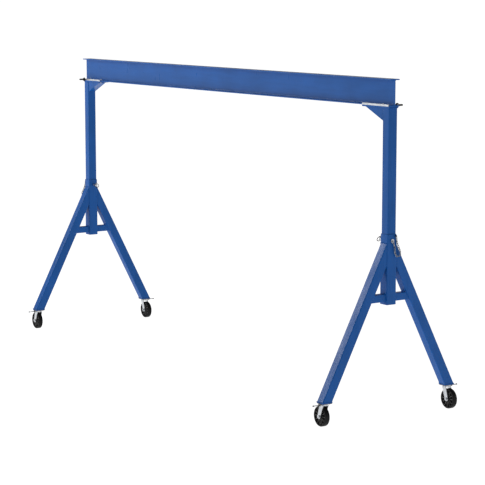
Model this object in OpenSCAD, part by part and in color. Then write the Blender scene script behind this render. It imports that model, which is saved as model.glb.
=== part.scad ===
// Portable gantry crane with two A-frame ends, telescoping uprights and swivel casters.
// Millimetres, +Z up. X runs along the beam, Y across it, the floor is z = 0.

/* [Output] */
// Sub-part to draw, or all of them

/* [Overall] */
// Distance between the centres of the two A-frame ends
span = 6096; // [3000:1:9000]
// Length of beam past the centre of each A-frame end
beam_end = 77; // [60:1:600]
// Height of the beam's underside above the floor, lowest setting
under_beam = 3087; // [2400:1:4000]
// Sideways distance from the centre line to each caster's swivel axis
foot_y = 762; // [500:1:1100]

/* [Beam] */
// Overall depth of the rolled section
beam_depth = 266; // [150:1:400]
// Flange width
flange_width = 107; // [80:1:200]
// Flange thickness
flange_t = 11; // [6:0.1:20]
// Web thickness
web_t = 7; // [4:0.1:14]
// Root fillet between web and flange
root_r = 9; // [3:0.5:16]

/* [Uprights and sleeves] */
// Outside of the square upright
upright = 101.6; // [60:0.1:150]
// Wall of the upright
upright_wall = 6.4; // [3:0.1:12]
// Gap on each side between upright and sleeve
slide_gap = 1.6; // [0.5:0.1:4]
// Wall of the sleeve
sleeve_wall = 4.8; // [3:0.1:10]
// Height of the sleeve's lower end
sleeve_z0 = 1140; // [700:1:1500]
// Height of the sleeve's upper end
sleeve_z1 = 1839; // [1500:1:2400]
// Gap between the upright's lower end and the sleeve's lower end
upright_tail = 20; // [5:1:120]
// Outer corner radius of all square tubes
tube_r = 8; // [2:0.5:14]

/* [Legs] */
// Outside of the square leg tube
leg = 101.6; // [60:0.1:130]
// Wall of the leg tube
leg_wall = 4.8; // [3:0.1:10]
// Height at which a leg's outer corner meets the sleeve
apex_z = 1749; // [1300:1:2200]
// Side of the square cross-bar tube
bar = 76.2; // [40:0.1:110]
// Wall of the cross-bar tube
bar_wall = 4.8; // [3:0.1:8]
// Height of the cross-bar's underside
bar_z = 1170; // [600:1:1500]
// Thickness of the foot plate under each leg
foot_t = 9.5; // [6:0.5:20]

/* [Beam seat] */
// Length of the seat plate past the gusset's tip
seat_over = 53.4; // [45:0.1:200]
// Thickness of the seat plate
seat_t = 16; // [8:0.5:30]
// Gusset length along the seat plate
gusset_l = 265; // [120:1:380]
// Gusset height down the upright
gusset_h = 120; // [60:1:300]
// Gusset plate thickness
gusset_t = 6.4; // [4:0.1:12]
// Height of the side bars beside the flange
side_bar_h = 19; // [12:0.5:30]
// Thickness of the side bars
side_bar_t = 8; // [5:0.5:14]
// Play between flange edge and side bar
flange_gap = 0.3; // [0.1:0.1:1]
// Thread diameter of the clamp screw
clamp_d = 18; // [10:0.5:24]
// Length of clamp screw outside the side bar
clamp_out = 68; // [30:1:100]
// Diameter of the four bolts through each flange and seat
flange_bolt_d = 12.7; // [8:0.1:20]

/* [Locking pins] */
// Pin diameter
pin_d = 25.4; // [14:0.1:40]
// Radial clearance of the pin in its holes
pin_gap = 0.4; // [0.1:0.1:2]
// Height of the locking pin
pin_z = 1773; // [1500:1:2300]
// Pitch of the pin holes in the upright
hole_pitch = 76.2; // [50:0.1:200]
// Number of holes in each upright
hole_count = 7; // [2:1:8]
// Length of pin past the sleeve on the inner side
pin_tip = 90; // [50:1:120]
// Distance from the pin's tip to the linch pin
linch_back = 13; // [9:0.5:30]
// Linch pin diameter
linch_d = 9.5; // [5:0.1:12]
// Radius of the linch pin's ring, to the wire's centre
linch_ring_r = 27; // [24:0.5:36]
// Wire diameter of the linch pin's ring
linch_wire = 7; // [3:0.1:8]
// Lean of the ring at rest, in degrees from upright
linch_lean = 30; // [10:1:40]

/* [Chain] */
// Wire diameter of the chain
chain_d = 5.5; // [3:0.1:6]
// Pitch of the chain
chain_pitch = 23.6; // [18:0.1:30]
// Play between one link and the next
chain_play = 0.7; // [0.4:0.1:0.9]

/* [Casters] */
// Overall height of a caster
caster_h = 241.3; // [150:0.1:320]
// Wheel diameter
wheel_d = 203.2; // [100:0.1:260]
// Wheel width
wheel_w = 50.8; // [30:0.1:70]
// Trail, from swivel axis to wheel axis
trail = 45; // [20:1:70]
// Caster plate length across the frame
plate_y = 114.3; // [90:0.1:160]
// Caster plate length along the beam
plate_x = 101.6; // [80:0.1:150]
// Caster plate thickness
plate_t = 6.4; // [5:0.1:12]
// Fork plate thickness
fork_t = 6.4; // [4:0.1:10]
// Side gap between wheel hub and fork
hub_gap = 0.6; // [0.2:0.1:3]
// Axle diameter
axle_d = 19; // [10:0.1:25]
// Radial running clearance of axles and kingpins
run_gap = 0.05; // [0.02:0.01:0.1]
// Kingpin diameter
kingpin_d = 16; // [10:0.1:24]
// Diameter of the fork's swivel race
race_d = 80; // [66:1:82]
// Swivel lock plunger diameter
plunger_d = 8; // [6:0.1:9]
// Travel of the swivel lock plunger
plunger_travel = 10; // [5:0.5:14]

/* [Hidden] */
half_span = span / 2;
beam_length = span + 2 * beam_end;
beam_top = under_beam + beam_depth;
sleeve = upright + 2 * (slide_gap + sleeve_wall);
upright_top = under_beam - seat_t;
upright_bottom = sleeve_z0 + upright_tail;
foot_top = caster_h + foot_t;
// leg lines in the Y-Z plane: the outer corner runs from the apex to the foot
lean = leg_lean(5);
function leg_tan(c) = (foot_y - sleeve / 2 + leg / 2 / c) / (apex_z - foot_top);
function leg_lean(n) = n == 0 ? atan(leg_tan(0.89)) : atan(leg_tan(cos(leg_lean(n - 1))));
seat_x1 = upright / 2;
seat_x0 = -upright / 2 - gusset_l - seat_over;
seat_length = seat_x1 - seat_x0;
seat_w = flange_width + 2 * (flange_gap + side_bar_t);
side_bar_y0 = flange_width / 2 + flange_gap;
side_bar_y1 = side_bar_y0 + side_bar_t;
clamp_x = upright / 2 - 22;
clamp_z = under_beam + side_bar_h / 2;
flange_bolt_y = (web_t / 2 + root_r + flange_width / 2) / 2 - 6;
flange_bolt_x = [seat_x0 + 30, -upright / 2 - 28];
pin_head_d = 38;
pin_head_t = 7;
eye_wire = 5;
eye_r = 8;
eye_x = sleeve / 2 + 0.3 + pin_head_t + eye_r + eye_wire / 2 - 2;
linch_x = -sleeve / 2 - pin_tip + linch_back;
linch_head_z = pin_d / 2 + 9.3;
wheel_z = wheel_d / 2;
plate_z = caster_h - plate_t;
race_top = plate_z - 3;
race_h = 13.5;
race_z = race_top - 0.4 - race_h;
plunger_z = race_z + race_h / 2;
plunger_in = race_d / 2 + 1.5;
plunger_len = plate_y / 2 + 83 - plunger_in;
fork_in = wheel_w / 2 + hub_gap + 3;
bolt_x = 33.3;
bolt_y = 38;
caster_bolt_d = 9.5;
kingpin_head_d = 25;

blue = [0.16, 0.32, 0.58];
zinc = [0.78, 0.80, 0.82];
dark = [0.10, 0.10, 0.11];
steel = [0.62, 0.64, 0.66];

// ---------- placement ----------
module at_end(side) {
  rotate([0, 0, side == "left" ? 180 : 0]) translate([half_span, 0, 0]) children();
}
// front foot of a frame in its own view; the rear one is the same turned half round
module at_foot(rear) {
  rotate([0, 0, rear ? 180 : 0]) translate([0, -foot_y, 0]) children();
}
// caster positions by their place in the whole crane
module at_caster(c) {
  side = c[0] == "l" ? "left" : "right";
  turned = (c == "rr" || c == "lf");
  at_end(side) at_foot(turned) children();
}

// ---------- shared shapes ----------
module rounded_square(s, r) {
  difference() {
    square([s, s], center = true);
    for (a = [0 : 90 : 270]) rotate(a) translate([s / 2 - r, s / 2 - r]) difference() {
      square([r + 1, r + 1]);
      circle(r, $fn = 48);
    }
  }
}
module tube_section(s, wall, r) {
  difference() {
    rounded_square(s, r);
    rounded_square(s - 2 * wall, max(r - wall, 1));
  }
}
module hex(af, h) { cylinder(h = h, r = af / sqrt(3), $fn = 6); }
module rod(d, h) { cylinder(h = h, d = d, $fn = 64); }
module ring(r, wire) { rotate_extrude($fn = 96) translate([r, 0]) circle(wire / 2, $fn = 32); }

// ---------- beam and uprights ----------
module i_profile() {
  c = web_t / 2;
  h = beam_depth / 2;
  square([web_t, beam_depth - 2 * flange_t + 1], center = true);
  for (t = [-1, 1]) {
    translate([0, t * (h - flange_t / 2)]) square([flange_width, flange_t], center = true);
    for (u = [-1, 1]) scale([u, t]) translate([c, h - flange_t - root_r]) difference() {
      translate([-0.5, 0]) square([root_r + 0.5, root_r + 0.5]);
      translate([root_r, 0]) circle(root_r, $fn = 48);
    }
  }
}
module flange_bolt_places() {
  for (x = flange_bolt_x, t = [-1, 1]) translate([x, t * flange_bolt_y, 0]) children();
}
module i_beam() {
  color(blue) difference() {
    translate([-beam_length / 2, 0, under_beam + beam_depth / 2]) rotate([90, 0, 90])
      linear_extrude(beam_length) i_profile();
    for (e = ["left", "right"]) at_end(e) flange_bolt_places()
      translate([0, 0, under_beam - 5]) rod(flange_bolt_d + 1, flange_t + 10);
  }
}
module upright_tube() {
  color(blue) difference() {
    translate([0, 0, upright_bottom]) linear_extrude(upright_top - upright_bottom)
      tube_section(upright, upright_wall, tube_r);
    for (k = [0 : hole_count - 1]) translate([-upright, 0, pin_z - k * hole_pitch])
      rotate([0, 90, 0]) rod(pin_d + 2 * pin_gap, 2 * upright);
  }
}

// ---------- beam seat ----------
module seat_plate() {
  color(blue) difference() {
    translate([seat_x0, -seat_w / 2, upright_top]) cube([seat_length, seat_w, seat_t]);
    flange_bolt_places() translate([0, 0, upright_top - 5]) rod(flange_bolt_d + 1, seat_t + 10);
  }
}
module gusset_side(d) {
  k = d * sqrt(gusset_l * gusset_l + gusset_h * gusset_h) / gusset_l;
  polygon([[0, 1], [-gusset_l + 2 * k, 1], [-gusset_l + 2 * k, -8 + k], [-10, -gusset_h + k], [0, -gusset_h + k]]);
}
module gusset() {
  w = upright - 8;
  color(blue) translate([-upright / 2, 0, upright_top]) intersection() {
    rotate([90, 0, 0]) difference() {
      translate([0, 0, -w / 2]) linear_extrude(w) gusset_side(0);
      translate([0, 0, -w / 2 + gusset_t]) linear_extrude(w - 2 * gusset_t) gusset_side(gusset_t);
      translate([0, 0, -w / 2 + gusset_t]) linear_extrude(w - 2 * gusset_t)
        translate([-gusset_t, -gusset_h + gusset_t]) square([gusset_t + 1, gusset_h]);
    }
    translate([-gusset_l, -w, -2 * gusset_h]) cube([gusset_l, 2 * w, 2 * gusset_h]);
  }
}
module side_bars() {
  color(zinc) difference() {
    for (t = [0, 1]) mirror([0, t, 0]) translate([seat_x0, side_bar_y0, under_beam])
      cube([seat_length, side_bar_t, side_bar_h]);
    translate([clamp_x, 0, clamp_z]) rotate([-90, 0, 0]) rod(clamp_d + 0.6, side_bar_y1 + 10);
  }
}
module clamp_screw() {
  color(dark) translate([clamp_x, 0, clamp_z]) rotate([-90, 0, 0]) {
    translate([0, 0, flange_width / 2 + 0.1]) rod(clamp_d, side_bar_y1 + clamp_out - flange_width / 2 - 2.1);
    translate([0, 0, side_bar_y1 + clamp_out - 2.5]) cylinder(h = 2.5, d1 = clamp_d, d2 = clamp_d - 4, $fn = 64);
    translate([0, 0, side_bar_y1]) rod(46, 5);
    translate([0, 0, side_bar_y1 + 4.5]) hex(28, 14);
  }
}
module flange_bolts() {
  color(zinc) flange_bolt_places() {
    translate([0, 0, upright_top - 8]) hex(19, 8);
    translate([0, 0, upright_top - 1]) rod(flange_bolt_d, seat_t + flange_t + 14);
    translate([0, 0, under_beam + flange_t]) hex(19, 10);
  }
}

// ---------- A-frame ----------
module leg_frame() {
  translate([0, -foot_y, foot_top]) rotate([-lean, 0, 0]) children();
}
module leg_tube() {
  long = (apex_z - foot_top) / cos(lean) + 2 * leg;
  color(blue) intersection() {
    leg_frame() translate([0, 0, -leg]) linear_extrude(long + leg) tube_section(leg, leg_wall, tube_r);
    translate([-leg, -foot_y - 2 * leg, foot_top]) cube([2 * leg, foot_y + 2 * leg - sleeve / 2, apex_z]);
  }
}
module cross_bar() {
  difference() {
    translate([0, -sleeve / 2, bar_z + bar / 2]) rotate([90, 0, 0]) linear_extrude(foot_y)
      tube_section(bar, bar_wall, tube_r * 0.75);
    leg_frame() translate([-leg, leg / 2 - 2 * foot_y, -leg]) cube([2 * leg, 2 * foot_y, 2 * apex_z]);
  }
}
module cross_bars() {
  color(blue) for (a = [0, 180]) rotate([0, 0, a]) cross_bar();
}
module sleeve_tube() {
  color(blue) difference() {
    translate([0, 0, sleeve_z0]) linear_extrude(sleeve_z1 - sleeve_z0)
      tube_section(sleeve, sleeve_wall, tube_r + slide_gap);
    translate([-sleeve, 0, pin_z]) rotate([0, 90, 0]) rod(pin_d + 2 * pin_gap, 2 * sleeve);
  }
}
module bolt_places() {
  for (x = [-1, 1], y = [-1, 1]) translate([x * bolt_x, y * bolt_y, 0]) children();
}
module foot_plates() {
  color(blue) for (t = [false, true]) at_foot(t) difference() {
    translate([-plate_x / 2, -plate_y / 2, caster_h]) cube([plate_x, plate_y, foot_t]);
    bolt_places() translate([0, 0, caster_h - 5]) rod(caster_bolt_d + 0.6, foot_t + 10);
  }
}
module caster_bolts() {
  color(zinc) for (t = [false, true]) at_foot(t) bolt_places() {
    translate([0, 0, plate_z - 6]) hex(14, 6);
    translate([0, 0, plate_z - 1]) rod(caster_bolt_d, plate_t + foot_t + 5);
  }
}

// ---------- locking pin ----------
module pin_view() { translate([0, 0, pin_z]) children(); }
module lock_pin() {
  long = sleeve + pin_tip + 0.3;
  color(zinc) pin_view() {
    difference() {
      union() {
        translate([-sleeve / 2 - pin_tip + 4, 0, 0]) rotate([0, 90, 0]) rod(pin_d, long - 3);
        translate([-sleeve / 2 - pin_tip, 0, 0]) rotate([0, 90, 0])
          cylinder(h = 4.01, d1 = pin_d - 6, d2 = pin_d, $fn = 64);
        translate([sleeve / 2 + 0.3, 0, 0]) rotate([0, 90, 0]) rod(pin_head_d, pin_head_t);
        translate([eye_x, 0, 0]) rotate([90, 0, 0]) ring(eye_r, eye_wire);
      }
      translate([linch_x, 0, -pin_d]) rod(linch_d + 0.6, 2 * pin_d);
    }
  }
}
module linch_pin() {
  color(steel) pin_view() translate([linch_x, 0, 0]) difference() {
    union() {
      translate([0, 0, -20]) rod(linch_d, linch_head_z + 20);
      translate([0, -5.5, linch_head_z]) rotate([-90, 0, 0]) rod(15, 11);
    }
    translate([0, -15, linch_head_z]) rotate([-90, 0, 0]) rod(linch_wire + 2, 30);
  }
}
module linch_ring() {
  color(steel) pin_view() translate([linch_x, 0, linch_head_z]) rotate([0, linch_lean, 0])
    translate([0, 0, -linch_ring_r]) rotate([0, 90, 0]) ring(linch_ring_r, linch_wire);
}

// ---------- chain ----------
// Heading of each link, in degrees from straight down towards +Y. The links stand in turn in the
// hanging plane and square to it, and turn about the centre of an upright link's round end.
headings = [19, 24, 13, 2, 7, 21, 54, 93, 137, 180, 202, 207, 205, 202, 196, 191, 188];
links = len(headings);
link_r = chain_d + chain_play;
function link_step(k) = chain_pitch + (k % 2 == 0 ? -link_r : link_r);
function chain_at(k) = k == 0 ? [0, -eye_r] :
  chain_at(k - 1) + link_step(k - 1) * [sin(headings[k - 1]), -cos(headings[k - 1])];
module link() {
  half = (chain_pitch - link_r) / 2;
  for (s = [0, 1]) mirror([0, 0, s]) {
    translate([0, 0, half]) rotate([90, 0, 0]) rotate_extrude(angle = 180, $fn = 48)
      translate([link_r, 0]) circle(chain_d / 2, $fn = 24);
    for (x = [-link_r, link_r]) translate([x, 0, 0]) cylinder(h = half, d = chain_d, $fn = 24);
  }
}
module chain() {
  color(zinc) translate([eye_x, 0, pin_z]) for (k = [0 : links - 1]) {
    mid = (chain_at(k) + chain_at(k + 1)) / 2;
    translate([0, mid[0], mid[1]]) rotate([headings[k], 0, 0])
      rotate([0, 0, k % 2 == 0 ? 90 : 0]) link();
  }
}
module chain_anchor() {
  tip = chain_at(links);
  color(dark) translate([0, tip[0], pin_z + tip[1] + eye_r]) {
    translate([eye_x, 0, 0]) rotate([90, 0, 0]) ring(eye_r, eye_wire);
    translate([sleeve / 2, 0, 0]) rotate([0, 90, 0]) rod(9, eye_x - eye_r - sleeve / 2 + 1);
    translate([sleeve / 2, 0, 0]) rotate([0, 90, 0]) hex(14, 6);
  }
}

// ---------- casters ----------
// one caster in its own view: swivel axis on Z, trailing towards -X, lock towards -Y
module caster_plate() {
  color(zinc) difference() {
    union() {
      translate([-plate_x / 2, -plate_y / 2, plate_z]) cube([plate_x, plate_y, plate_t]);
      translate([0, 0, race_top]) rod(race_d - 12, plate_z - race_top + 1);
      translate([0, 0, race_z - 1]) rod(kingpin_d, plate_z - race_z + 2);
      translate([0, 0, race_z - 5.4]) rod(kingpin_head_d, 5);
      translate([-16, -plate_y / 2 - 8, plunger_z - 9]) cube([32, 8.01, caster_h - plunger_z + 9]);
    }
    bolt_places() translate([0, 0, plate_z - 1]) rod(caster_bolt_d + 0.6, plate_t + 2);
    translate([0, -plate_y / 2 + 2, plunger_z]) rotate([90, 0, 0]) rod(plunger_d + 0.5, 20);
  }
}
module fork() {
  color(zinc) difference() {
    union() {
      translate([0, 0, race_z]) rod(race_d, race_h);
      for (t = [0, 1]) mirror([0, t, 0]) translate([0, fork_in + fork_t, 0]) rotate([90, 0, 0])
        linear_extrude(fork_t) {
          polygon([[-34, race_z + 1.5], [24, race_z + 1.5], [-trail + 24, wheel_z], [-trail - 24, wheel_z]]);
          translate([-trail, wheel_z]) circle(24, $fn = 72);
        }
    }
    translate([0, 0, race_z - 1]) rod(kingpin_d + 2 * run_gap, race_h + 2);
    for (a = [0 : 90 : 270]) rotate([0, 0, a]) translate([race_d / 2 - plunger_travel - 2, 0, plunger_z])
      rotate([0, 90, 0]) rod(plunger_d + 1, plunger_travel + 3);
    translate([-trail, -fork_in - 20, wheel_z]) rotate([-90, 0, 0]) rod(axle_d + 0.3, 2 * fork_in + 40);
  }
}
module axle() {
  y = fork_in + fork_t;
  color(steel) translate([-trail, 0, wheel_z]) rotate([90, 0, 0]) {
    translate([0, 0, -y - 14]) rod(axle_d, 2 * y + 15);
    translate([0, 0, y]) hex(28, 10);
    translate([0, 0, -y - 11]) hex(28, 11);
  }
}
module wheel_ring(r0, r1, w) {
  rotate([90, 0, 0]) translate([0, 0, -w / 2]) difference() {
    rod(2 * r1, w);
    translate([0, 0, -1]) rod(2 * r0, w + 2);
  }
}
module wheel() {
  r = wheel_d / 2;
  hub = wheel_w / 2 + 3;
  bore = axle_d / 2 + 6.5;
  color(dark) translate([-trail, 0, wheel_z]) {
    rotate([90, 0, 0]) rotate_extrude($fn = 128) {
      difference() {
        translate([r - 17, -wheel_w / 2]) square([17, wheel_w]);
        for (t = [-1, 1]) scale([1, t]) translate([r - 5, wheel_w / 2 - 5]) difference() {
          square([6, 6]);
          circle(5, $fn = 48);
        }
      }
      translate([bore, -6]) square([r - 17 - bore + 1, 12]);
      translate([bore, -hub]) square([13, 2 * hub]);
    }
    for (a = [0 : 30 : 330]) rotate([0, a, 0]) translate([bore + 6, -wheel_w / 2 + 3, -2.5])
      cube([r - 17 - bore - 5, wheel_w - 6, 5]);
  }
}
module bearing() {
  color(steel) translate([-trail, 0, wheel_z])
    wheel_ring(axle_d / 2 + run_gap, axle_d / 2 + 6.5, wheel_w + 6);
}
module swivel_lock() {
  color(steel) translate([0, -plunger_in, plunger_z]) rotate([90, 0, 0]) {
    cylinder(h = 2.01, d1 = plunger_d - 3, d2 = plunger_d, $fn = 64);
    translate([0, 0, 2]) rod(plunger_d, plunger_len - 2);
    translate([0, 0, plunger_len - 12]) rod(14, 12);
  }
}

// ---------- assembly ----------
ends = ["left", "right"];
corners = ["lf", "lr", "rf", "rr"];
i_beam();
for (e = ends) {
  near = e == "right";
  at_end(e) upright_tube();
  at_end(e) seat_plate();
  at_end(e) gusset();
  at_end(e) side_bars();
  at_end(e) clamp_screw();
  at_end(e) flange_bolts();
  at_end(e) sleeve_tube();
  at_end(e) rotate([0, 0, near ? 0 : 180]) leg_tube();
  at_end(e) rotate([0, 0, near ? 180 : 0]) leg_tube();
  at_end(e) cross_bars();
  at_end(e) foot_plates();
  at_end(e) caster_bolts();
  at_end(e) chain_anchor();
  at_end(e) chain();
  at_end(e) lock_pin();
  at_end(e) linch_pin();
  at_end(e) linch_ring();
}
for (c = corners) {
  at_caster(c) caster_plate();
  at_caster(c) fork();
  at_caster(c) axle();
  at_caster(c) wheel();
  at_caster(c) bearing();
  at_caster(c) swivel_lock();
}
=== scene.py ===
import bpy
from math import cos, pi, radians, sin
from mathutils import Matrix, Vector


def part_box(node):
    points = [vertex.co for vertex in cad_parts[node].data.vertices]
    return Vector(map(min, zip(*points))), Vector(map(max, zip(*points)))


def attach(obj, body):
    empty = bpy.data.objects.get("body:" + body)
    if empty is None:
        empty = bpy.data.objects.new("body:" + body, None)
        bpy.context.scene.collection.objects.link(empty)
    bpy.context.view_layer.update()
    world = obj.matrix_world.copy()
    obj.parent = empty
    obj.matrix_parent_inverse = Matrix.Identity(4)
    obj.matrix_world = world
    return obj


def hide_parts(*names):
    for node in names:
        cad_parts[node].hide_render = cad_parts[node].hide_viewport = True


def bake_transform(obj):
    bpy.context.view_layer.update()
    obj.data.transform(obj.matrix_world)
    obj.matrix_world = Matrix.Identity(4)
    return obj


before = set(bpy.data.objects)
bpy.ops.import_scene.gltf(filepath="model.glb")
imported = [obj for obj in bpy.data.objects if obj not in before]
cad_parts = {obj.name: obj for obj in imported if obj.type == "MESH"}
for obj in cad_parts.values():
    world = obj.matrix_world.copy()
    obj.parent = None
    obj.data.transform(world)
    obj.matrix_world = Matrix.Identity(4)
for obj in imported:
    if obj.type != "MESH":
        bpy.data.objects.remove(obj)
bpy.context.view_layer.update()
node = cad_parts

# ---------- The beam ----------
# A rolled steel I-section, saw-cut square at both ends, drilled at each end for the seat bolts,
# then shot-blasted and sprayed with gloss blue enamel. The enamel covers every welded piece too.


class Wire:
    """One output of a shader node: arithmetic on it adds Math nodes, and node() adds any other."""

    def __init__(self, out):
        self.out, self.tree = out, out.id_data

    def node(self, kind, sockets, pick=0, **settings):
        made = self.tree.nodes.new(kind)
        for key, value in settings.items():
            setattr(made, key, value)
        for key, value in sockets.items():
            if isinstance(value, Wire):
                self.tree.links.new(value.out, made.inputs[key])
            else:
                made.inputs[key].default_value = value
        return Wire(made.outputs[pick])

    def maths(self, operation, a, b):
        return self.node("ShaderNodeMath", {0: a, 1: b}, operation=operation)

    def __add__(self, other): return self.maths("ADD", self, other)
    def __radd__(self, other): return self.maths("ADD", other, self)
    def __sub__(self, other): return self.maths("SUBTRACT", self, other)
    def __rsub__(self, other): return self.maths("SUBTRACT", other, self)
    def __mul__(self, other): return self.maths("MULTIPLY", self, other)
    def __rmul__(self, other): return self.maths("MULTIPLY", other, self)

    def into(self, shader, socket):
        self.tree.links.new(self.out, shader.inputs[socket])


def finish_of(name, **sockets):
    """(material, its shader, its Object coordinates) with the shader's fixed numbers set."""
    material = bpy.data.materials.new(name)
    material.use_nodes = True
    shader = material.node_tree.nodes["Principled BSDF"]
    for key, value in sockets.items():
        shader.inputs[key.replace("_", " ")].default_value = value
    place = Wire(material.node_tree.nodes.new("ShaderNodeTexCoord").outputs["Object"])
    return material, shader, place


def noise(place, scale, detail=3, roughness=0.5, stretch=(1, 1, 1)):
    if stretch != (1, 1, 1):
        place = place.node("ShaderNodeMapping", {"Vector": place, "Scale": stretch})
    return place.node("ShaderNodeTexNoise", {"Vector": place, "Scale": scale, "Detail": detail,
                                             "Roughness": roughness})


def steps(value, low, high, to_low=0.0, to_high=1.0):
    """value spread from low..high to to_low..to_high, clamped."""
    return value.node("ShaderNodeMapRange", {"Value": value, "From Min": low, "From Max": high,
                                             "To Min": to_low, "To Max": to_high})


def blend(factor, a, b):
    """Colour a where factor is 0, b where it is 1."""
    return factor.node("ShaderNodeMix", {"Factor": factor, "A": a, "B": b}, pick="Result", data_type="RGBA")


def bump(height, strength, depth):
    return height.node("ShaderNodeBump", {"Height": height, "Strength": strength, "Distance": depth})


def enamel(name, grain):
    """Sprayed gloss enamel on steel, whose waviness grain stretches along its rolling direction."""
    deep, body, thin = (0.006, 0.078, 0.295, 1), (0.009, 0.103, 0.392, 1), (0.022, 0.145, 0.46, 1)
    material, shader, place = finish_of(name, Coat_Roughness=0.12, Specular_IOR_Level=0.13)
    cloud = noise(place, 2.2, 4, 0.55)
    rolled = noise(place, 9.0, 4, 0.6, grain)
    film = steps(cloud * 0.6 + rolled * 0.4, 0.34, 0.66)
    specks = steps(noise(place, 310, 2, 0.6), 0.70, 0.78, 0, 0.45)
    blend(specks, blend(film, deep, body), thin).into(shader, "Base Color")
    smear = steps(noise(place, 5.0, 5, 0.7, (1, 1, 0.35)), 0.35, 0.7)
    (0.27 + smear * 0.16).into(shader, "Roughness")
    (0.06 - smear * 0.04).into(shader, "Coat Weight")
    peel = noise(place, 420, 2, 0.5) * 0.35 + rolled * 0.65
    bump(peel, 0.22, 0.0009).into(shader, "Normal")
    return material


def dress(names, material, edge):
    """Gives CAD nodes their finish, an edge rounded by the blast and the spray, and smooth round faces."""
    if "soft faces" not in bpy.data.node_groups:
        soft = bpy.data.node_groups.new("soft faces", "GeometryNodeTree")
        soft.interface.new_socket("Geometry", in_out="INPUT", socket_type="NodeSocketGeometry")
        soft.interface.new_socket("Geometry", in_out="OUTPUT", socket_type="NodeSocketGeometry")
        add, join = soft.nodes.new, soft.links.new
        start, end = add("NodeGroupInput"), add("NodeGroupOutput")
        faces, edges = add("GeometryNodeSetShadeSmooth"), add("GeometryNodeSetShadeSmooth")
        edges.domain = "EDGE"
        edges.inputs["Shade Smooth"].default_value = False
        angle, sharp = add("GeometryNodeInputMeshEdgeAngle"), add("FunctionNodeCompare")
        sharp.inputs[1].default_value = radians(32)
        join(start.outputs[0], faces.inputs[0])
        join(faces.outputs[0], edges.inputs[0])
        join(angle.outputs[0], sharp.inputs[0])
        join(sharp.outputs[0], edges.inputs["Selection"])
        join(edges.outputs[0], end.inputs[0])
    for name in names:
        piece = node[name]
        piece.data.materials.clear()
        piece.data.materials.append(material)
        weld = piece.modifiers.new("one skin", "WELD")
        weld.merge_threshold = 1e-5
        flat = piece.modifiers.new("whole faces", "DECIMATE")
        flat.decimate_type, flat.angle_limit = "DISSOLVE", radians(0.3)
        piece.modifiers.new("soft faces", "NODES").node_group = bpy.data.node_groups["soft faces"]
        if edge:
            bevel = piece.modifiers.new("edge", "BEVEL")
            bevel.width, bevel.segments, bevel.limit_method = edge, 2, "ANGLE"
            bevel.angle_limit, bevel.harden_normals = radians(32), True


beam_blue = enamel("blue enamel on the beam", (0.25, 3, 3))
dress(["i_beam"], beam_blue, 0.0015)

# ---------- Uprights, beam seats and gussets ----------
# Two square tubes stand under the beam. Each has a flat seat plate welded across its top and a
# folded three-sided gusset welded into the corner, and slides in the A-frame's sleeve below.

ENDS = {"left": -1, "right": 1}
tube_blue = enamel("blue enamel on tube", (3, 3, 0.25))
for end in ENDS:
    dress([f"upright_{end}", f"seat_plate_{end}"], tube_blue, 0.0012)
    dress([f"gusset_{end}"], tube_blue, 0.0015)


class Recipe:
    """A Geometry Nodes tree with named inputs. make() runs it once and keeps the plain mesh."""

    def __init__(self, name, **sizes):
        self.tree = bpy.data.node_groups.new(name, "GeometryNodeTree")
        face = self.tree.interface
        face.new_socket("Geometry", in_out="OUTPUT", socket_type="NodeSocketGeometry")
        face.new_socket("Geometry", in_out="INPUT", socket_type="NodeSocketGeometry")
        for size, start in sizes.items():
            kind = "NodeSocketInt" if isinstance(start, int) else "NodeSocketFloat"
            face.new_socket(size, in_out="INPUT", socket_type=kind).default_value = start
        face.new_socket("Finish", in_out="INPUT", socket_type="NodeSocketMaterial")
        self.given = self.tree.nodes.new("NodeGroupInput").outputs

    def add(self, kind, sockets=None, pick=0, **settings):
        made = self.tree.nodes.new(kind)
        for key, value in settings.items():
            setattr(made, key, value)
        for key, value in (sockets or {}).items():
            if isinstance(value, bpy.types.NodeSocket):
                self.tree.links.new(value, made.inputs[key])
            else:
                made.inputs[key].default_value = value
        return made.outputs[pick]

    def sum(self, operation, a, b):
        return self.add("ShaderNodeMath", {0: a, 1: b}, operation=operation)

    def close(self, geometry, smooth=True):
        real = self.add("GeometryNodeRealizeInstances", {0: geometry})
        real = self.add("GeometryNodeSetShadeSmooth", {"Geometry": real, "Shade Smooth": smooth})
        real = self.add("GeometryNodeSetMaterial", {"Geometry": real, "Material": self.given["Finish"]})
        self.tree.links.new(real, self.tree.nodes.new("NodeGroupOutput").inputs[0])
        return self

    def make(self, name, points, edges, finish, **sizes):
        seed_mesh = bpy.data.meshes.new(name)
        seed_mesh.from_pydata(points, edges, [])
        source = bpy.data.objects.new(name, seed_mesh)
        bpy.context.scene.collection.objects.link(source)
        modifier = source.modifiers.new(name, "NODES")
        modifier.node_group = self.tree
        for item in self.tree.interface.items_tree:
            if item.in_out == "INPUT" and item.name in sizes:
                modifier[item.identifier] = sizes[item.name]
            elif item.in_out == "INPUT" and item.name == "Finish":
                modifier[item.identifier] = finish
        shown = source.evaluated_get(bpy.context.evaluated_depsgraph_get())
        mesh = bpy.data.meshes.new_from_object(shown)
        bpy.data.objects.remove(source)
        piece = bpy.data.objects.new(name, mesh)
        bpy.context.scene.collection.objects.link(piece)
        return piece


def ring_of(points):
    """(points, edges) of a closed polyline."""
    return points, [(i, (i + 1) % len(points)) for i in range(len(points))]


def gather(lines):
    """Several (points, edges) as one."""
    points, edges = [], []
    for some, joins in lines:
        edges += [(a + len(points), b + len(points)) for a, b in joins]
        points += some
    return points, edges


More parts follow.
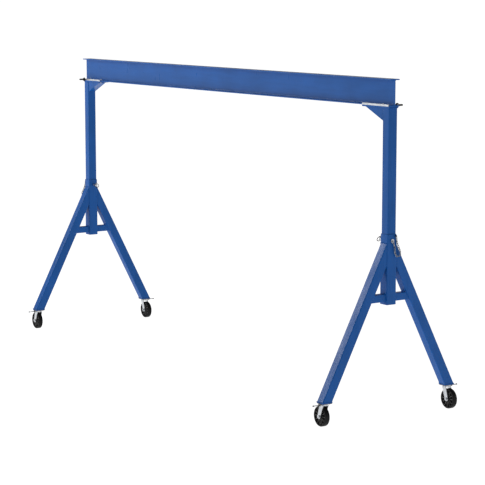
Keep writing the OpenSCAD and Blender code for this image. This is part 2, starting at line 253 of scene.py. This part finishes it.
bead = Recipe("weld bead", Bead=0.004, Ripple=0.005, Seed=3)
along = bead.add("GeometryNodeResampleCurve",
                 {"Curve": bead.add("GeometryNodeMeshToCurve", {0: bead.given["Geometry"]}),
                  "Length": bead.given["Ripple"]}, mode="LENGTH")
drop = bead.add("GeometryNodeMeshIcoSphere", {"Radius": bead.given["Bead"], "Subdivisions": 2})
lie = bead.add("FunctionNodeAlignRotationToVector",
               {"Vector": bead.add("GeometryNodeInputTangent")}, axis="Z")
uneven = bead.add("FunctionNodeRandomValue", {2: 0.86, 3: 1.08, "Seed": bead.given["Seed"]}, pick=1)
bead.close(bead.add("GeometryNodeInstanceOnPoints",
                    {"Points": along, "Instance": drop, "Rotation": lie, "Scale": uneven}))


def turned(points, sign):
    """The left-hand end is the right-hand one turned half round about the crane's middle."""
    return [(sign * x, sign * y, z) for x, y, z in points]


for end, sign in ENDS.items():
    (x0, y0, _), (x1, y1, top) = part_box("upright_right")
    (g0, h0, low), (g1, h1, _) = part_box("gusset_right")
    under_seat = ring_of([(x0, y0, top), (x1, y0, top), (x1, y1, top), (x0, y1, top)])
    corner = [([(g0, y, top), (g1, y, top), (g1, y, low)], [(0, 1), (1, 2)]) for y in (h0, h1)]
    corner.append(([(g1, h0, low), (g1, h1, low)], [(0, 1)]))
    points, edges = gather([under_seat] + corner)
    welds = bead.make(f"seat_welds_{end}", turned(points, sign), edges, tube_blue,
                      Bead=0.0042, Ripple=0.0052)
    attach(welds, "beam_unit")

# ---------- Beam clamps and seat bolts ----------
# Zinc-plated flat bars lie along both edges of the beam's flange on each seat. A long black
# clamp screw with a nut and a wide washer closes them on one side, and four bolts hold the flange.

bright, shader, place = finish_of("bright zinc plate", Metallic=1.0, Specular_Tint=(1, 1, 1, 1))
bloom = noise(place, 38, 4, 0.6)
tone = steps(bloom, 0.3, 0.7)
blend(tone, (0.44, 0.46, 0.49, 1), (0.64, 0.655, 0.67, 1)).into(shader, "Base Color")
(0.24 + steps(noise(place, 160, 3, 0.6), 0.3, 0.75) * 0.18).into(shader, "Roughness")
bump(noise(place, 900, 2, 0.5), 0.10, 0.0003).into(shader, "Normal")

black, shader, place = finish_of("black oxide steel", Metallic=0.55)
oil = steps(noise(place, 60, 4, 0.6), 0.35, 0.7)
blend(oil, (0.012, 0.012, 0.014, 1), (0.035, 0.034, 0.036, 1)).into(shader, "Base Color")
(0.34 + oil * 0.2).into(shader, "Roughness")
bump(noise(place, 700, 2, 0.5), 0.12, 0.0003).into(shader, "Normal")

thread = Recipe("rolled thread", Radius=0.009, Pitch=0.002, Turns=20.0, Teeth=0.0007)
helix = thread.add("GeometryNodeCurveSpiral",
                   {"Resolution": 28, "Rotations": thread.given["Turns"],
                    "Start Radius": thread.given["Radius"], "End Radius": thread.given["Radius"],
                    "Height": thread.sum("MULTIPLY", thread.given["Pitch"], thread.given["Turns"])})
tooth = thread.add("GeometryNodeCurvePrimitiveCircle", {"Resolution": 4, "Radius": thread.given["Teeth"]})
cut = thread.add("GeometryNodeCurveToMesh", {"Curve": helix, "Profile Curve": tooth, "Fill Caps": True})
thread.close(cut, smooth=False)

# the screw's radius at its threads, their pitch, what washer and nut take up, and the plain point
SCREW_R, SCREW_PITCH, NUT_END, POINT = 0.0089, 0.0022, 0.0195, 0.004

for end, sign in ENDS.items():
    dress([f"side_bars_{end}", f"flange_bolts_{end}"], bright, 0.0009)
    dress([f"clamp_screw_{end}"], black, 0.0009)
    (x0, y0, z0), (x1, y1, z1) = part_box("clamp_screw_right")
    nut_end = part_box("side_bars_right")[1][1] + NUT_END
    cut = thread.make(f"clamp_thread_{end}", [(0, 0, 0)], [], black, Radius=SCREW_R, Pitch=SCREW_PITCH,
                      Turns=(y1 - POINT - nut_end) / SCREW_PITCH, Teeth=0.0008)
    cut.data.transform(Matrix.Rotation(0 if sign > 0 else pi, 4, "Z")
                       @ Matrix.Translation(((x0 + x1) / 2, nut_end + 0.001, (z0 + z1) / 2))
                       @ Matrix.Rotation(-pi / 2, 4, "X"))
    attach(cut, "beam_unit")

# ---------- A-frames ----------
# Two raking square legs are mitred against a short square sleeve and welded all round, with a
# cross bar stub each side lower down and a flat plate under each foot, all sprayed blue.

for end, sign in ENDS.items():
    dress([f"{part}_{end}" for part in ("sleeve", "front_leg", "rear_leg", "cross_bars", "foot_plates")],
          tube_blue, 0.0012)
    (x0, y0, z0), (x1, y1, z1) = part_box("front_leg_right")
    tan_lean = (y1 - y0) / (z1 - z0)
    across = (x1 - x0) * (1 + tan_lean * tan_lean) ** 0.5
    mitre = across / tan_lean
    (b0, _, c0), (b1, _, c1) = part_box("cross_bars_right")
    lines = []
    for side in (-1, 1):
        foot_in = y0 + across
        low_in, high_in = [foot_in + (z - z0) * tan_lean for z in (c0, c1)]
        for corners in ([(x0, y1, z1 - mitre), (x0, y1, z1), (x1, y1, z1), (x1, y1, z1 - mitre)],
                        [(x0, y0, z0), (x1, y0, z0), (x1, foot_in, z0), (x0, foot_in, z0)],
                        [(b0, y1, c0), (b1, y1, c0), (b1, y1, c1), (b0, y1, c1)],
                        [(b0, low_in, c0), (b1, low_in, c0), (b1, high_in, c1), (b0, high_in, c1)]):
            lines.append(ring_of([(x, side * -y, z) for x, y, z in corners]))
    points, edges = gather(lines)
    welds = bead.make(f"frame_welds_{end}", turned(points, sign), edges, tube_blue, Bead=0.004, Ripple=0.005)
    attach(welds, f"{end}_frame")

# ---------- Locking pins ----------
# A one-inch zinc-plated pin goes through sleeve and upright from the outer side. Its inner end
# is held by a linch pin whose sprung wire ring folds over the pin's tip.

wire, shader, place = finish_of("dark spring wire", Metallic=0.9)
blue_bloom = steps(noise(place, 120, 3, 0.6), 0.3, 0.7)
blend(blue_bloom, (0.004, 0.004, 0.005, 1), (0.014, 0.014, 0.016, 1)).into(shader, "Base Color")
(0.28 + blue_bloom * 0.15).into(shader, "Roughness")

for end in ENDS:
    dress([f"lock_pin_{end}", f"linch_pin_{end}"], bright, 0.0006)
    dress([f"linch_ring_{end}"], wire, 0)

# ---------- Chains ----------
# A short welded chain keeps each pin with its frame: it hangs in a loop from the eye on the
# pin's head and comes back up to a small eye bolt in the sleeve. Zinc plated, seventeen links.

dull, shader, place = finish_of("dull zinc chain", Metallic=0.85)
rubbed = steps(noise(place, 70, 3, 0.6), 0.40, 0.62)
blend(rubbed, (0.030, 0.033, 0.040, 1), (0.50, 0.53, 0.58, 1)).into(shader, "Base Color")
(0.46 - rubbed * 0.18).into(shader, "Roughness")

# the links' pitch, wire and play, then the eyes' radius and wire and where the rising strand starts
PITCH, WIRE, PLAY = 0.0236, 0.0055, 0.0007
EYE_R, EYE_WIRE, RISING_Y = 0.008, 0.005, 0.036
# each link's heading in degrees from straight down, the same as in the CAD
HEADINGS = [19, 24, 13, 2, 7, 21, 54, 93, 137, 180, 202, 207, 205, 202, 196, 191, 188]
bend_r = WIRE + PLAY

links = Recipe("chain of links", Length=0.026, Width=0.01, Thickness=0.0045)
centre = links.add("GeometryNodeInputMeshEdgeVertices", pick=3)
far_end = links.add("GeometryNodeInputMeshEdgeVertices", pick=2)
run = links.add("ShaderNodeVectorMath", {0: centre, 1: far_end}, operation="SUBTRACT")
hold = links.tree.nodes.new("GeometryNodeCaptureAttribute")
hold.domain = "EDGE"
hold.capture_items.new("VECTOR", "run")
links.tree.links.new(links.given["Geometry"], hold.inputs[0])
links.tree.links.new(run, hold.inputs[1])
spots = links.add("GeometryNodeMeshToPoints", {0: hold.outputs[0]}, mode="EDGES")
lie = links.add("FunctionNodeAlignRotationToVector", {"Vector": hold.outputs[1]}, axis="Z", pivot_axis="X")
count = links.add("GeometryNodeInputIndex")
odd = links.sum("MODULO", links.sum("ADD", count, 1.0), 2.0)
roll = links.add("ShaderNodeCombineXYZ", {"Z": links.sum("MULTIPLY", odd, pi / 2)})
lie = links.add("FunctionNodeRotateRotation", {"Rotation": lie, "Rotate By": roll}, rotation_space="LOCAL")
oval = links.add("GeometryNodeCurvePrimitiveQuadrilateral",
                 {"Width": links.given["Width"], "Height": links.given["Length"]})
oval = links.add("GeometryNodeFilletCurve",
                 {"Curve": oval, "Count": 8, "Radius": links.sum("MULTIPLY", links.given["Width"], 0.4999)},
                 mode="POLY")
oval = links.add("GeometryNodeTransform", {"Geometry": oval, "Rotation": (pi / 2, 0, 0)})
bar_end = links.add("GeometryNodeCurvePrimitiveCircle",
                    {"Resolution": 10, "Radius": links.sum("MULTIPLY", links.given["Thickness"], 0.5)})
one = links.add("GeometryNodeCurveToMesh", {"Curve": oval, "Profile Curve": bar_end})
links.close(links.add("GeometryNodeInstanceOnPoints", {"Points": spots, "Instance": one, "Rotation": lie}))

for end, sign in ENDS.items():
    dress([f"chain_anchor_{end}"], black, 0.0005)
    (_, _, low), (_, _, high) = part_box("lock_pin_right")
    anchor_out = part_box("chain_anchor_right")[1][0]
    x, z = anchor_out - EYE_R - EYE_WIRE / 2, (low + high) / 2 - EYE_R
    points = [(x, 0.0, z)]
    for k, heading in enumerate(HEADINGS):
        step = PITCH + (-bend_r if k % 2 == 0 else bend_r)
        _, y, z = points[-1]
        points.append((x, y + step * sin(radians(heading)), z - step * cos(radians(heading))))
    edges = [(k, k + 1) for k in range(len(HEADINGS))]
    chain = links.make(f"retaining_chain_{end}", turned(points, sign), edges, dull,
                       Length=PITCH + bend_r, Width=2 * bend_r, Thickness=WIRE)
    x, _, z = points[0]
    sign * x
    sign * x
    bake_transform(chain)
    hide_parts(f"chain_{end}")

# ---------- Casters ----------
# Eight-inch swivel casters bolt under each foot: a pressed zinc-plated plate with its swivel
# race and kingpin, a two-legged fork, a through-bolt axle, and a sprung plunger that locks the swivel.

# A much darker copy of the zinc plating, used for the caster plates, swivel locks and caster bolts. Its
# darkness is painted shade for where they sit under the foot plates, and the noise on it is random stains.
shade_dark_zinc, shader, place = finish_of("zinc plate darkened as painted shade", Metallic=0.8)
stain = steps(noise(place, 55, 4, 0.65), 0.35, 0.65)
blend(stain, (0.060, 0.063, 0.070, 1), (0.20, 0.205, 0.215, 1)).into(shader, "Base Color")
(0.50 - stain * 0.14).into(shader, "Roughness")
bump(noise(place, 800, 2, 0.5), 0.10, 0.0003).into(shader, "Normal")

CORNERS = "lf", "lr", "rf", "rr"
for end in ENDS:
    dress([f"caster_bolts_{end}"], shade_dark_zinc, 0.0006)
for corner in CORNERS:
    dress([f"caster_plate_{corner}", f"swivel_lock_{corner}"], shade_dark_zinc, 0.0009)
    dress([f"fork_{corner}", f"axle_{corner}", f"bearing_{corner}"], bright, 0.0009)

# ---------- Caster wheels ----------
# Each wheel is one black nylon moulding: a rounded tread, a thin web and a long hub, with radial
# ribs on both faces. It turns on a steel bearing tube round the axle.

nylon, shader, place = finish_of("black moulded nylon", Specular_IOR_Level=0.12)
mould = noise(place, 30, 4, 0.6)
dust = steps(noise(place, 14, 5, 0.7), 0.45, 0.75)
blend(dust * 0.5, (0.006, 0.006, 0.0065, 1), (0.030, 0.029, 0.028, 1)).into(shader, "Base Color")
(0.42 + mould * 0.2).into(shader, "Roughness")
bump(noise(place, 500, 3, 0.6), 0.18, 0.0004).into(shader, "Normal")

# The ribs are the same black nylon as the moulding. This lighter grey copy, in random patches, is painted
# highlight on their faces.
highlit, shader, place = finish_of("scuffed nylon ribs", Specular_IOR_Level=0.35)
rib_highlight = steps(noise(place, 90, 4, 0.7), 0.42, 0.62)
blend(rib_highlight, (0.012, 0.012, 0.013, 1), (0.16, 0.155, 0.15, 1)).into(shader, "Base Color")
(0.36 + rib_highlight * 0.2).into(shader, "Roughness")

ribs = Recipe("wheel ribs", Count=12, Inner=0.02, Outer=0.08, Deep=0.045, Thick=0.005)
mid_r = ribs.sum("MULTIPLY", ribs.sum("ADD", ribs.given["Inner"], ribs.given["Outer"]), 0.5)
spokes = ribs.add("GeometryNodeMeshCircle", {"Vertices": ribs.given["Count"], "Radius": mid_r})
size = ribs.add("ShaderNodeCombineXYZ", {"X": ribs.sum("SUBTRACT", ribs.given["Outer"], ribs.given["Inner"]),
                                         "Y": ribs.given["Thick"], "Z": ribs.given["Deep"]})
rib = ribs.add("GeometryNodeMeshCube", {"Size": size})
turn = ribs.sum("MULTIPLY", ribs.add("GeometryNodeInputIndex"), 2 * pi)
turn = ribs.add("ShaderNodeCombineXYZ", {"Z": ribs.sum("DIVIDE", turn, ribs.given["Count"])})
ribs.close(ribs.add("GeometryNodeInstanceOnPoints", {"Points": spokes, "Instance": rib, "Rotation": turn}),
           smooth=False)


def lathe(profile, turns=96):
    """(points, faces) of a closed outline of (radius, height) pairs turned about Z."""
    many = len(profile)
    points = [(r * cos(2 * pi * t / turns), r * sin(2 * pi * t / turns), h)
              for t in range(turns) for r, h in profile]
    faces = [(t * many + p, (t + 1) % turns * many + p, (t + 1) % turns * many + (p + 1) % many,
              t * many + (p + 1) % many) for t in range(turns) for p in range(many)]
    return points, faces


# half the tread's width, its shoulder's radius, the rim's depth and half the web's thickness,
# then the eased edge of the rim, the fillets beside the web and the hub's wall
TREAD, ROUND, RIM, WEB = 0.0254, 0.006, 0.017, 0.006
EASE, FILLET, HUB = 0.002, 0.003, 0.013

for corner in CORNERS:
    (x0, y0, z0), (x1, y1, z1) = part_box(f"wheel_{corner}")
    middle = Vector(((x0 + x1) / 2, (y0 + y1) / 2, (z0 + z1) / 2))
    (_, _, bore0), (_, _, bore1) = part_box(f"bearing_{corner}")
    bore, radius, hub = (bore1 - bore0) / 2, (z1 - z0) / 2, (y1 - y0) / 2
    inside = radius - RIM
    outline = [(radius - ROUND + ROUND * cos(radians(a)), TREAD - ROUND + ROUND * sin(radians(a)))
               for a in range(0, 91, 15)]
    outline += [(inside + EASE, TREAD), (inside, TREAD - EASE), (inside - EASE, WEB + FILLET),
                (inside - EASE - FILLET, WEB), (bore + HUB + FILLET, WEB), (bore + HUB + 0.001, WEB + FILLET),
                (bore + HUB - 0.0005, hub - 0.001), (bore + HUB - 0.0015, hub), (bore, hub)]
    outline += [(r, -h) for r, h in reversed(outline)]
    points, faces = lathe(outline)
    mesh = bpy.data.meshes.new(f"wheel_moulding_{corner}")
    mesh.from_pydata(points, [], faces)
    mesh.transform(Matrix.Translation(middle) @ Matrix.Rotation(pi / 2, 4, "X"))
    mesh.materials.append(nylon)
    moulding = bpy.data.objects.new(mesh.name, mesh)
    bpy.context.scene.collection.objects.link(moulding)
    spokes = ribs.make(f"wheel_ribs_{corner}", [(0, 0, 0)], [], highlit, Count=12, Inner=bore + 0.011,
                       Outer=inside + EASE, Deep=2 * TREAD - 0.007, Thick=0.0048)
    spokes.data.transform(Matrix.Translation(middle) @ Matrix.Rotation(pi / 2, 4, "X"))
    for piece in (moulding, spokes):
        edge = piece.modifiers.new("edge", "BEVEL")
        edge.width, edge.segments, edge.limit_method, edge.angle_limit = 0.0008, 2, "ANGLE", radians(40)
        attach(piece, f"wheel_{corner}")
    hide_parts(f"wheel_{corner}")
    for polygon in mesh.polygons:
        polygon.use_smooth = True
    mesh.update()

# ---------- Studio ----------
# A seamless white floor that mostly glows of itself, a sky that is white at the horizon and dim
# overhead, a weak soft lamp high to the left of the lens, a strong one low beyond the far end,
# and a long lens some twenty metres away.

WIDE = 900
floor_mesh = bpy.data.meshes.new("studio floor")
floor_mesh.from_pydata([(-WIDE, -WIDE, 0), (WIDE, -WIDE, 0), (WIDE, WIDE, 0), (-WIDE, WIDE, 0)], [],
                       [(0, 1, 2, 3)])
floor = bpy.data.objects.new("studio floor", floor_mesh)
bpy.context.scene.collection.objects.link(floor)
paper, shader, place = finish_of("white paper", Base_Color=(0.35, 0.35, 0.35, 1), Roughness=0.9,
                                 Emission_Color=(1, 1, 1, 1), Emission_Strength=0.97)
floor_mesh.materials.append(paper)

world = bpy.data.worlds.new("studio sky")
bpy.context.scene.world = world
world.use_nodes = True
sky = Wire(world.node_tree.nodes.new("ShaderNodeTexCoord").outputs["Generated"])
height = sky.node("ShaderNodeSeparateXYZ", {"Vector": sky}, pick="Z")
world.node_tree.nodes["Background"].inputs["Color"].default_value = (1, 1, 1, 1)
steps(height, 0.0, 0.30, 0.97, 0.16).into(world.node_tree.nodes["Background"], "Strength")
bpy.context.scene.view_settings.view_transform = "Standard"


def lamp(name, place, aim, size, power):
    light = bpy.data.lights.new(name, "AREA")
    light.shape, light.size, light.energy = "SQUARE", size, power
    made = bpy.data.objects.new(name, light)
    made.location = place
    made.rotation_euler = (Vector(aim) - Vector(place)).to_track_quat("-Z", "Y").to_euler()
    bpy.context.scene.collection.objects.link(made)


lamp("key", (4.0, -10.5, 14.5), (0.5, 0, 1.6), 7, 50)
lamp("side", (-9.5, -7.5, 7.0), (3, 0, 1.0), 5, 680)

lens = bpy.data.cameras.new("camera")
lens.lens, lens.sensor_width, lens.clip_end = 132.55, 36, 3000
camera = bpy.data.objects.new("camera", lens)
camera.location = (16.759, -10.709, 4.203)
camera.rotation_euler = Vector((-0.8279, 0.5432, -0.1400)).to_track_quat("-Z", "Y").to_euler()
bpy.context.scene.collection.objects.link(camera)
bpy.context.scene.camera = camera
